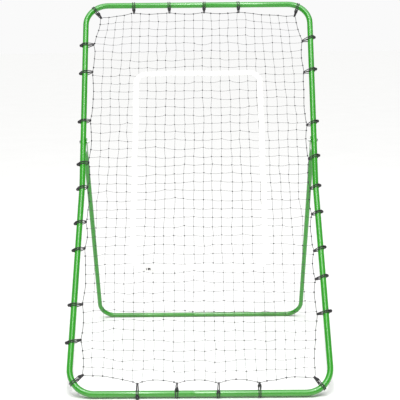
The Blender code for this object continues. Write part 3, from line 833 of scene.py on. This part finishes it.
# %% Sweep the edge cord and its knots
EDGE_CORD_RADIUS = 0.0012
EDGE_KNOT_SIZES = (1.2, 1.5)
EASE = 0.16
ring = edge_chains["left"][::-1] + edge_chains["top"][1:]
ring += edge_chains["right"][1:] + edge_chains["bottom"][::-1][1:-1]
edge_store = new_store()
edge_points = [net_point(number) for number in ring]
fine_points = []
for i, point in enumerate(edge_points):
    before = edge_points[i - 1]
    after = edge_points[(i + 1) % len(edge_points)]
    following = edge_points[(i + 2) % len(edge_points)]
    leaving = point + (after - before) * EASE
    arriving = after - (following - point) * EASE
    for s in (0.0, 0.34, 0.67):
        eased = point * (1 - s) ** 3 + leaving * 3 * s * (1 - s) ** 2
        fine_points.append(eased + arriving * 3 * s * s * (1 - s) + after * s**3)
add_cord(edge_store, fine_points, EDGE_CORD_RADIUS, 6, closed=True)
for number in ring:
    if number < GRID_KNOTS:
        add_knot(edge_store, net_point(number), KNOT_SCALE * chance.uniform(*EDGE_KNOT_SIZES))
edge_cord = mesh_object(edge_store, "net_edge_cord", [net_twine])
length = sum((b - a).length for a, b in zip(fine_points, fine_points[1:] + fine_points[:1]))
print(f"edge cord {length:.2f} m round, {len(edge_cord.data.polygons)} faces")

# %% [markdown]
# ## The strike zone
# The target is a band of webbing, bent into a rectangle with round corners and laid on the front of the
# net. It has to follow the net's own sag, so a helper finds the mesh that a place falls in and blends
# the depths of its four knots. The centre line is laid out first, in even steps with the direction that
# points out of the rectangle at each.


# %% Place a point on the net's surface
def on_net(across, up, lift):
    """The point at this place of the net's plane, following its sag, lifted towards the thrower."""
    column = (across + NET_HALF_WIDTH) / MESH_ACROSS
    row = (NET_TOP - up) / MESH_UP
    c, r = int(column), int(row)
    u, v = column - c, row - r
    upper = solved[knot(r, c), 2] * (1 - u) + solved[knot(r, c + 1), 2] * u
    lower = solved[knot(r + 1, c), 2] * (1 - u) + solved[knot(r + 1, c + 1), 2] * u
    return on_frame(across, up, upper * (1 - v) + lower * v + lift)


net_middle = on_net(0.0, (NET_TOP + NET_BOTTOM) / 2, 0.0)
print("the middle of the net is at", [round(x, 3) for x in net_middle])

# %% Lay out the band's centre line
zone_low, zone_high = frame_box("strike_zone_band")
BAND_WIDTH = 0.025
BAND_THICKNESS = 0.0011
ZONE_CORNER = 0.049
ZONE_CORNER_STEPS = 9
BAND_STEP = 0.011
zone = []
half = BAND_WIDTH / 2
left, right = zone_low.x + half, zone_high.x - half
bottom, top = zone_low.y + half, zone_high.y - half
for cx, cy, start in (
    (right - ZONE_CORNER, bottom + ZONE_CORNER, -90),
    (right - ZONE_CORNER, top - ZONE_CORNER, 0),
    (left + ZONE_CORNER, top - ZONE_CORNER, 90),
    (left + ZONE_CORNER, bottom + ZONE_CORNER, 180),
):
    for step in range(ZONE_CORNER_STEPS + 1):
        angle = math.radians(start + 90 * step / ZONE_CORNER_STEPS)
        outward = Vector((math.cos(angle), math.sin(angle)))
        zone.append((Vector((cx, cy)) + outward * ZONE_CORNER, outward))
centre_line = []
for (place, outward), (after, after_out) in zip(zone, zone[1:] + zone[:1]):
    steps = max(1, round((after - place).length / BAND_STEP))
    for i in range(steps):
        share = i / steps
        centre_line.append((place.lerp(after, share), outward.lerp(after_out, share).normalized()))
print(len(centre_line), "steps round the strike zone")

# %% [markdown]
# Webbing has a little spring of its own. It stands off the knots by a couple of millimetres, wanders
# from a straight line, and its edges ripple. Those are slow sines along the band, each with its own
# pitch so that they never repeat together. The strip is swept flat, and modifiers give it its thickness
# and roll its edges.

# %% Sweep the flat band
CROSS_STEPS = 5
KNOT_CLEARANCE = 0.0022
WANDER = ((0.0012, 21, 0), (0.0008, 47, 1))
RIPPLE = ((0.0005, 33, 2),)
PUCKER = 0.0004
PUCKER_RADIANS = 90


def slow_waves(waves, along):
    """The sum of some sine waves, each given as a height, its radians per metre and its start."""
    return sum(height * math.sin(along * radians + start) for height, radians, start in waves)


band = new_store()
distance = [0.0]
centres = [place for place, outward in centre_line]
for place, after in zip(centres, centres[1:] + centres[:1]):
    distance.append(distance[-1] + (after - place).length)
for i, (place, outward) in enumerate(centre_line):
    wander = slow_waves(WANDER, distance[i])
    ripple = slow_waves(RIPPLE, distance[i])
    pucker = PUCKER * math.cos(distance[i] * PUCKER_RADIANS)
    for j in range(CROSS_STEPS):
        across = (j / (CROSS_STEPS - 1) - 0.5) * BAND_WIDTH
        spot = place + outward * (across + wander)
        edge_lift = ripple + pucker * (across / half) ** 2
        band["points"].append(on_net(spot.x, spot.y, KNOT_CLEARANCE + edge_lift))
count = len(centre_line)
for i in range(count):
    j = (i + 1) % count
    for k in range(CROSS_STEPS - 1):
        corners = (i * CROSS_STEPS + k, i * CROSS_STEPS + k + 1, j * CROSS_STEPS + k + 1)
        band["faces"].append([*corners, j * CROSS_STEPS + k])
        low_v = BAND_WIDTH * k / (CROSS_STEPS - 1)
        high_v = BAND_WIDTH * (k + 1) / (CROSS_STEPS - 1)
        here, there = distance[i], distance[i + 1]
        band["uvs"] += [(here, low_v), (here, high_v), (there, high_v), (there, low_v)]
        band["slots"].append(0)
strike_zone = mesh_object(band, "strike_zone_webbing", [webbing])
thicken = strike_zone.modifiers.new("webbing thickness", "SOLIDIFY")
thicken.thickness = BAND_THICKNESS
thicken.offset = 1
soften = strike_zone.modifiers.new("rolled edges", "BEVEL")
soften.width = BAND_THICKNESS * 0.35
soften.segments = 2
soften.angle_limit = math.radians(60)
print(f"strike zone band {distance[-1]:.2f} m long")

# %% [markdown]
# ## The lashing on the strike zone
# The band's two ends meet low on the left, in its bottom run, where a short black cord is threaded
# through it and knotted. Three turns of cord lie side by side, with a small knot in front. It is a helix,
# swept with the same cord helper as everything else, and flattened so that it hugs the webbing.

# %% Wind the lashing
LASHING_TURNS = 3
LASHING_TURN_STEPS = 12
LASHING_RADIUS = 0.0013
LASHING_HALF_HEIGHT = 0.0042
LASHING_HALF_DEPTH = 0.0027
LASHING_KNOT_SCALE = 0.0011
LASHING_KNOT_OUT = 0.0032
lash_low, lash_high = frame_box("strike_zone_lashing")
lash_middle = (lash_low + lash_high) / 2
lash_length = lash_high.x - lash_low.x
lash_store = new_store()
winding = []
for step in range(LASHING_TURNS * LASHING_TURN_STEPS + 1):
    angle = 2 * math.pi * step / LASHING_TURN_STEPS
    winding.append(on_net(
        lash_low.x + lash_length * step / (LASHING_TURNS * LASHING_TURN_STEPS),
        lash_middle.y + LASHING_HALF_HEIGHT * math.cos(angle),
        KNOT_CLEARANCE + BAND_THICKNESS / 2 + LASHING_HALF_DEPTH * math.sin(angle),
    ))
add_cord(lash_store, winding, LASHING_RADIUS, 6, capped=True)
knot_out = KNOT_CLEARANCE + BAND_THICKNESS + LASHING_KNOT_OUT
knot_place = on_net(lash_middle.x, lash_middle.y, knot_out)
add_knot(lash_store, knot_place, LASHING_KNOT_SCALE)
lashing = mesh_object(lash_store, "strike_zone_cord_lashing", [braided_elastic])
print(f"lashing {lash_length * 1000:.0f} mm wide")

# %% [markdown]
# ## Elastic ball ties
# A ball tie is one length of elastic cord with both ends knotted inside a moulded ball. The doubled cord
# goes round the tube and through the net, and its far end, the bight, is slipped over the ball to lock
# it. A closed ring with a ball stuck on would be simpler, but it would miss the lock, which is what one
# sees first. So the path is one open line: out of the ball, all the way round, across the neck in front
# of the ball, and all the way back beside itself. It starts flat, as a belt round the tube and the edge
# cord.

# %% The belt round the tube and the edge cord
ELASTIC_RADIUS = 0.002
BELT_STEPS = 240
LOOP_RADIUS = TUBE_RADIUS + ELASTIC_RADIUS + 0.0004
HOOK_RADIUS = EDGE_CORD_RADIUS + ELASTIC_RADIUS + 0.0002


def belt_line(reach):
    """Evenly spaced (towards net, out) points of the belt, and the outward direction at each."""
    lean = math.asin((LOOP_RADIUS - HOOK_RADIUS) / reach)
    top_angle = math.pi / 2 - lean
    corners = []
    for i in range(61):
        angle = top_angle + (2 * math.pi - 2 * top_angle) * i / 60
        corners.append((Vector((math.cos(angle), math.sin(angle))), 0, LOOP_RADIUS))
    for i in range(21):
        angle = -top_angle + 2 * top_angle * i / 20
        corners.append((Vector((math.cos(angle), math.sin(angle))), reach, HOOK_RADIUS))
    points = [Vector((centre, 0)) + outward * radius for outward, centre, radius in corners]
    outwards = [outward for outward, centre, radius in corners]
    distance = [0.0]
    for a, b in zip(points, points[1:] + points[:1]):
        distance.append(distance[-1] + (b - a).length)
    spaced = np.linspace(0, distance[-1], BELT_STEPS, endpoint=False)
    columns = [np.interp(spaced, distance, [p[k] for p in points + points[:1]]) for k in (0, 1)]
    facing = [np.interp(spaced, distance, [p[k] for p in outwards + outwards[:1]]) for k in (0, 1)]
    return np.array(columns).T, np.array(facing).T, distance[-1]


TRIAL_REACH = 0.04
belt_length = belt_line(TRIAL_REACH)[2]
print(f"a belt that reaches 40 mm to its hook is {belt_length * 1000:.0f} mm round")

# %% [markdown]
# Next the belt is cut at the ball and doubled. The two strands lie a few millimetres apart on the tube,
# come together at the hook, and open again to pass either side of the ball. How far apart they are and
# how high they stand are read from short tables against the length of cord already run. Two rounds of
# averaging take the corners out, as a stretched cord has none.

# %% The cord's path from the ball, round and back
PATH_STEPS = 58
BALL_RADIUS = 0.0072
BALL_OUT = 0.0055
BIGHT_PAST_BALL = 0.0095


def strand_path(reach, ball_place, spread, skew):
    """(towards net, out, along the tube) points of the whole cord, and the ball's centre.

    ball_place picks the belt point nearest the ball, spread is half the strands' distance apart on
    the tube, and skew tilts the loop along the tube.
    """
    points, facing, length = belt_line(reach)
    start = int(np.argmin(((points - np.array(ball_place)) ** 2).sum(1)))
    points = np.roll(points, -start, axis=0)
    facing = np.roll(facing, -start, axis=0)
    # From the ball the cord sets off over the front of the tube.
    points = np.roll(points[::-1], 1, axis=0)
    facing = np.roll(facing[::-1], 1, axis=0)
    spaced = np.linspace(0, length, BELT_STEPS, endpoint=False)
    total = length + BIGHT_PAST_BALL
    run = np.linspace(0, total, PATH_STEPS)
    wrapped = run % length
    place = [np.interp(wrapped, spaced, points[:, k], period=length) for k in (0, 1)]
    face = [np.interp(wrapped, spaced, facing[:, k], period=length) for k in (0, 1)]
    towards_hook = np.clip(1 - abs(place[0] - reach) / (reach - LOOP_RADIUS), 0, 1)
    # It leaves the ball's hole high and comes down onto the tube within 19 mm.
    lift = np.interp(run, [0, 0.009, 0.019, length], [BALL_OUT, 0.0048, 0, 0])
    # The strands lie spread on the tube and side by side at the hook.
    apart = spread * (1 - towards_hook) + ELASTIC_RADIUS * 1.05 * towards_hook
    # Near the ball they share its hole, so they start close.
    neck = np.interp(run, [0, 0.006, 0.022], [0.0019, 0.0023, 1.0])
    apart = np.where(run < 0.022, np.minimum(apart, neck), apart)
    # Coming back, the bight opens to pass the ball's neck on both sides and closes behind it.
    around_ball = BALL_RADIUS * 0.86
    ends = [length - 0.016, length - 0.005, length + 0.003, total - 0.0025, total]
    apart = np.where(
        run > ends[0],
        np.interp(run, ends, [apart[run <= ends[0]][-1], around_ball, around_ball, 0.0045, 0.0]),
        apart,
    )
    strands = []
    for side in (apart, -apart):
        line = np.array([place[0] + face[0] * lift, place[1] + face[1] * lift, side]).T
        line[:, 2] += skew * (line[:, 0] - reach)
        strands.append(line)
    path = np.vstack([strands[0], strands[1][::-1][1:]])
    for smoothing_round in range(2):
        path[1:-1] = path[1:-1] * 0.5 + (path[:-2] + path[2:]) * 0.25
    ball = np.array([points[0][0] + facing[0][0] * BALL_OUT, points[0][1] + facing[0][1] * BALL_OUT, 0])
    ball[2] = skew * (ball[0] - reach)
    return path, ball


trial_path = strand_path(TRIAL_REACH, (-LOOP_RADIUS, 0.0), 0.0042, 0.0)[0]
print(len(trial_path), "points in a tie's cord")

# %% [markdown]
# The ball is turned from one profile: a sphere with a shallow funnel where the cord goes in and a thin
# raised line where the two halves of its mould met. Its axis lies along the cord that leaves it. A plain
# sphere would do from far away, but the hole and the mould line are what make it a part.

# %% Add a ball to a tie
BALL_SIDES = 14
BALL_RINGS = 12
HOLE_RADIUS = 0.0032


def add_ball(store, centre, axis, slot):
    """A moulded ball with its cord hole facing along axis."""
    axis = axis.normalized()
    side = axis.orthogonal().normalized()
    other = axis.cross(side)
    opening = math.asin(HOLE_RADIUS / BALL_RADIUS)
    profile = [(0.0, BALL_RADIUS * 0.55), (HOLE_RADIUS * 0.8, BALL_RADIUS * 0.6)]
    for i in range(BALL_RINGS + 1):
        angle = opening + (math.pi - opening) * i / BALL_RINGS
        reach = BALL_RADIUS * (1.02 if i == BALL_RINGS // 2 else 1.0)
        profile.append((reach * math.sin(angle), reach * math.cos(angle)))
    first = len(store["points"])
    for radius, along in profile:
        for k in range(BALL_SIDES):
            angle = 2 * math.pi * k / BALL_SIDES
            spoke = side * math.cos(angle) + other * math.sin(angle)
            store["points"].append(centre + axis * along + spoke * max(radius, 1e-5))
    for i in range(len(profile) - 1):
        for k in range(BALL_SIDES):
            m = (k + 1) % BALL_SIDES
            a, b = first + i * BALL_SIDES, first + (i + 1) * BALL_SIDES
            store["faces"].append([a + k, b + k, b + m, a + m])
            store["uvs"] += [(0.0, 0.0)] * 4
            store["slots"].append(slot)


print(f"balls of {2 * BALL_RADIUS * 1000:.1f} mm with holes of {2 * HOLE_RADIUS * 1000:.1f} mm")

# %% [markdown]
# Someone hooked these on by hand, so the balls don't line up. On the sides they sit at the outside of
# the tube, each turned a little differently. On the bars and corners most have been pulled round to the
# net's side, except three on the bottom bar, which are set by their turn in degrees. Each tie is built
# flat, then laid along the line from its tube to its hook.

# %% Build all the ties
TIE_SIDES = 7
BAR_BALLS = {"bungee_tie_bottom_1": 148, "bungee_tie_bottom_2": 35, "bungee_tie_bottom_3": 80}


def tie_to_model(tie, towards, along, point):
    """The model's point for a tie's own (towards net, out, along the tube) point."""
    flat = tie["tube"] + towards * point[0] + along * point[2]
    return on_frame(flat.x, flat.y, point[1])


elastic_length = 0
for tie in ties:
    towards = tie["hook"] - tie["tube"]
    reach = towards.length
    towards.normalize()
    along = Vector((-towards.y, towards.x))
    edge = tie["edge"]
    if edge in ("left", "right"):
        turn = math.pi + chance.uniform(-0.25, 0.25)
        ball_place = (LOOP_RADIUS * math.cos(turn), LOOP_RADIUS * math.sin(turn))
        skew = chance.uniform(0.04, 0.2)
    elif tie["node"] in BAR_BALLS:
        turn = math.radians(BAR_BALLS[tie["node"]])
        ball_place = (LOOP_RADIUS * math.cos(turn), LOOP_RADIUS * math.sin(turn))
        skew = chance.uniform(-0.06, 0.06)
    else:
        ball_place = (reach * chance.uniform(0.6, 0.72), 0.008)
        skew = chance.uniform(-0.05, 0.05)
    path, ball = strand_path(reach, ball_place, chance.uniform(0.0034, 0.0045), skew)
    store = new_store()
    cord_points = [tie_to_model(tie, towards, along, point) for point in path]
    ball_centre = tie_to_model(tie, towards, along, ball)
    add_cord(store, cord_points, ELASTIC_RADIUS, TIE_SIDES, capped=True)
    add_ball(store, ball_centre, cord_points[3] - ball_centre, 1)
    name = tie["node"].replace("bungee_tie", "ball_tie")
    made = mesh_object(store, name, [braided_elastic, black_plastic])
    elastic_length += sum((b - a).length for a, b in zip(cord_points, cord_points[1:]))
    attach(made, "front_frame")
    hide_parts(tie["node"])
print(f"{len(ties)} ties hold {elastic_length:.2f} m of elastic cord")

# %% [markdown]
# ## Fix the soft parts to the frame
# Everything soft belongs to the front frame and moves with it, so each piece rides on that body, and the
# plain parts of the imported model that it stands for are hidden.

# %% Ride and replace
for piece, material_slot, nodes in (
    (net, "net_twine", ["net_panel"]),
    (edge_cord, "net_twine", ["net_border_cord"]),
    (strike_zone, "white_webbing", ["strike_zone_band"]),
    (lashing, "elastic_cord", ["strike_zone_lashing"]),
):
    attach(piece, "front_frame")
    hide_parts(*nodes)

# %% [markdown]
# ## The floor
# The rebounder stands on a plain pale studio floor, rolled with matte paint. It is one large square, so
# wide that its far edge meets the backdrop at the horizon. A slow noise keeps the paint from being one
# flat value. It belongs to the stage and not to the object.

# %% Floor
FLOOR_HALF = 60
floor_paint, shader = new_surface("matte pale floor paint", {"Roughness": 0.9})
place = add_node(floor_paint, "ShaderNodeTexCoord").outputs["Object"]
roller = add_node(floor_paint, "ShaderNodeTexNoise", {}, {"Vector": place, "Scale": 2.0, "Detail": 4.0})
floor_colour = add_node(
    floor_paint,
    "ShaderNodeMix",
    {"data_type": "RGBA"},
    {0: roller.outputs["Fac"], 6: linear("#f6f6f5"), 7: linear("#fbfbfa")},
)
wire(floor_paint, floor_colour.outputs[2], shader, "Base Color")
floor_mesh = bpy.data.meshes.new("studio_floor")
floor_corners = [
    (-FLOOR_HALF, -FLOOR_HALF, 0),
    (FLOOR_HALF, -FLOOR_HALF, 0),
    (FLOOR_HALF, FLOOR_HALF, 0),
    (-FLOOR_HALF, FLOOR_HALF, 0),
]
floor_mesh.from_pydata(floor_corners, [], [(0, 1, 2, 3)])
floor_mesh.materials.append(floor_paint)
floor = bpy.data.objects.new("studio_floor", floor_mesh)
bpy.context.scene.collection.objects.link(floor)
print("floor", 2 * FLOOR_HALF, "m square")

# %% [markdown]
# ## Two lights
# A broad, even light from above keeps the floor white as far as it reaches and the shadows faint. A
# sun with a wide angle does that best, as it doesn't fall off with distance. A long, narrow strip box
# hangs over the space in front. It is narrow across, so it draws a thin bright line down each side tube
# and one short glint at the middle of each bar.


# %% Lights
def add_light(name, kind, place, target, power):
    """A light of this kind at place, facing target."""
    light = bpy.data.lights.new(name, kind)
    light.energy = power
    lamp = bpy.data.objects.new(name, light)
    lamp.location = place
    lamp.rotation_euler = (Vector(target) - Vector(place)).to_track_quat("-Z", "Y").to_euler()
    bpy.context.scene.collection.objects.link(lamp)
    return light


STRIP_HEIGHT = 4.0
strip = add_light("overhead_strip_box", "AREA", (0, -2.9, STRIP_HEIGHT), (0, -1.6, 0), 110)
strip.shape = "RECTANGLE"
strip.size = 0.32
strip.size_y = 4.4
ceiling = add_light("even_ceiling_light", "SUN", (0, -1.0, 5), (0, 0, 0), 2.75)
ceiling.angle = math.radians(70)
print("lights:", strip.name, "and", ceiling.name)

# %% [markdown]
# ## White surroundings
# The room's own light comes from the world. The tubes need it weak, or their dark flanks would wash out,
# while the backdrop behind the net should look as bright as the far floor. One world can do both: it
# asks whether a ray came straight from the camera, and answers with one brightness or the other.

# %% White surroundings
SURROUND_LIGHT = 0.2
world = bpy.data.worlds.new("white studio")
bpy.context.scene.world = world
world.use_nodes = True
background = world.node_tree.nodes["Background"]
background.inputs["Color"].default_value = (1, 1, 1, 1)
background.inputs["Strength"].default_value = SURROUND_LIGHT
seen = world.node_tree.nodes.new("ShaderNodeLightPath")
backdrop = world.node_tree.nodes.new("ShaderNodeBackground")
backdrop.inputs["Color"].default_value = linear("#fafafa")
choose = world.node_tree.nodes.new("ShaderNodeMixShader")
output = world.node_tree.nodes["World Output"]
world.node_tree.links.new(seen.outputs["Is Camera Ray"], choose.inputs[0])
world.node_tree.links.new(background.outputs[0], choose.inputs[1])
world.node_tree.links.new(backdrop.outputs[0], choose.inputs[2])
world.node_tree.links.new(choose.outputs[0], output.inputs["Surface"])
bpy.context.scene.view_settings.view_transform = "Standard"
print("surroundings give", SURROUND_LIGHT, "of full white")

# %% [markdown]
# ## The camera
# The camera stands about four metres in front, a little below eye height, and looks slightly down. It is
# turned and rolled by a fraction of a degree, as a camera held by hand is. A long lens keeps the frame's
# sides nearly parallel, so the lean shows only as a gentle taper.

# %% Camera
CAMERA_PLACE = Vector((0.02, -3.923, 1.421))
PITCH_DOWN = math.radians(10.46)
YAW = math.radians(-0.228)
ROLL = math.radians(-0.492)
looking = Vector((
    math.sin(YAW) * math.cos(PITCH_DOWN),
    math.cos(YAW) * math.cos(PITCH_DOWN),
    -math.sin(PITCH_DOWN),
))
lens = bpy.data.cameras.new("camera")
lens.sensor_width = 36
lens.lens = 82.35
camera = bpy.data.objects.new("camera", lens)
camera.location = CAMERA_PLACE
aim = looking.to_track_quat("-Z", "Y").to_matrix() @ Matrix.Rotation(ROLL, 3, "Z")
camera.rotation_euler = aim.to_euler()
bpy.context.scene.collection.objects.link(camera)
bpy.context.scene.camera = camera
print("camera at", [round(x, 2) for x in CAMERA_PLACE])
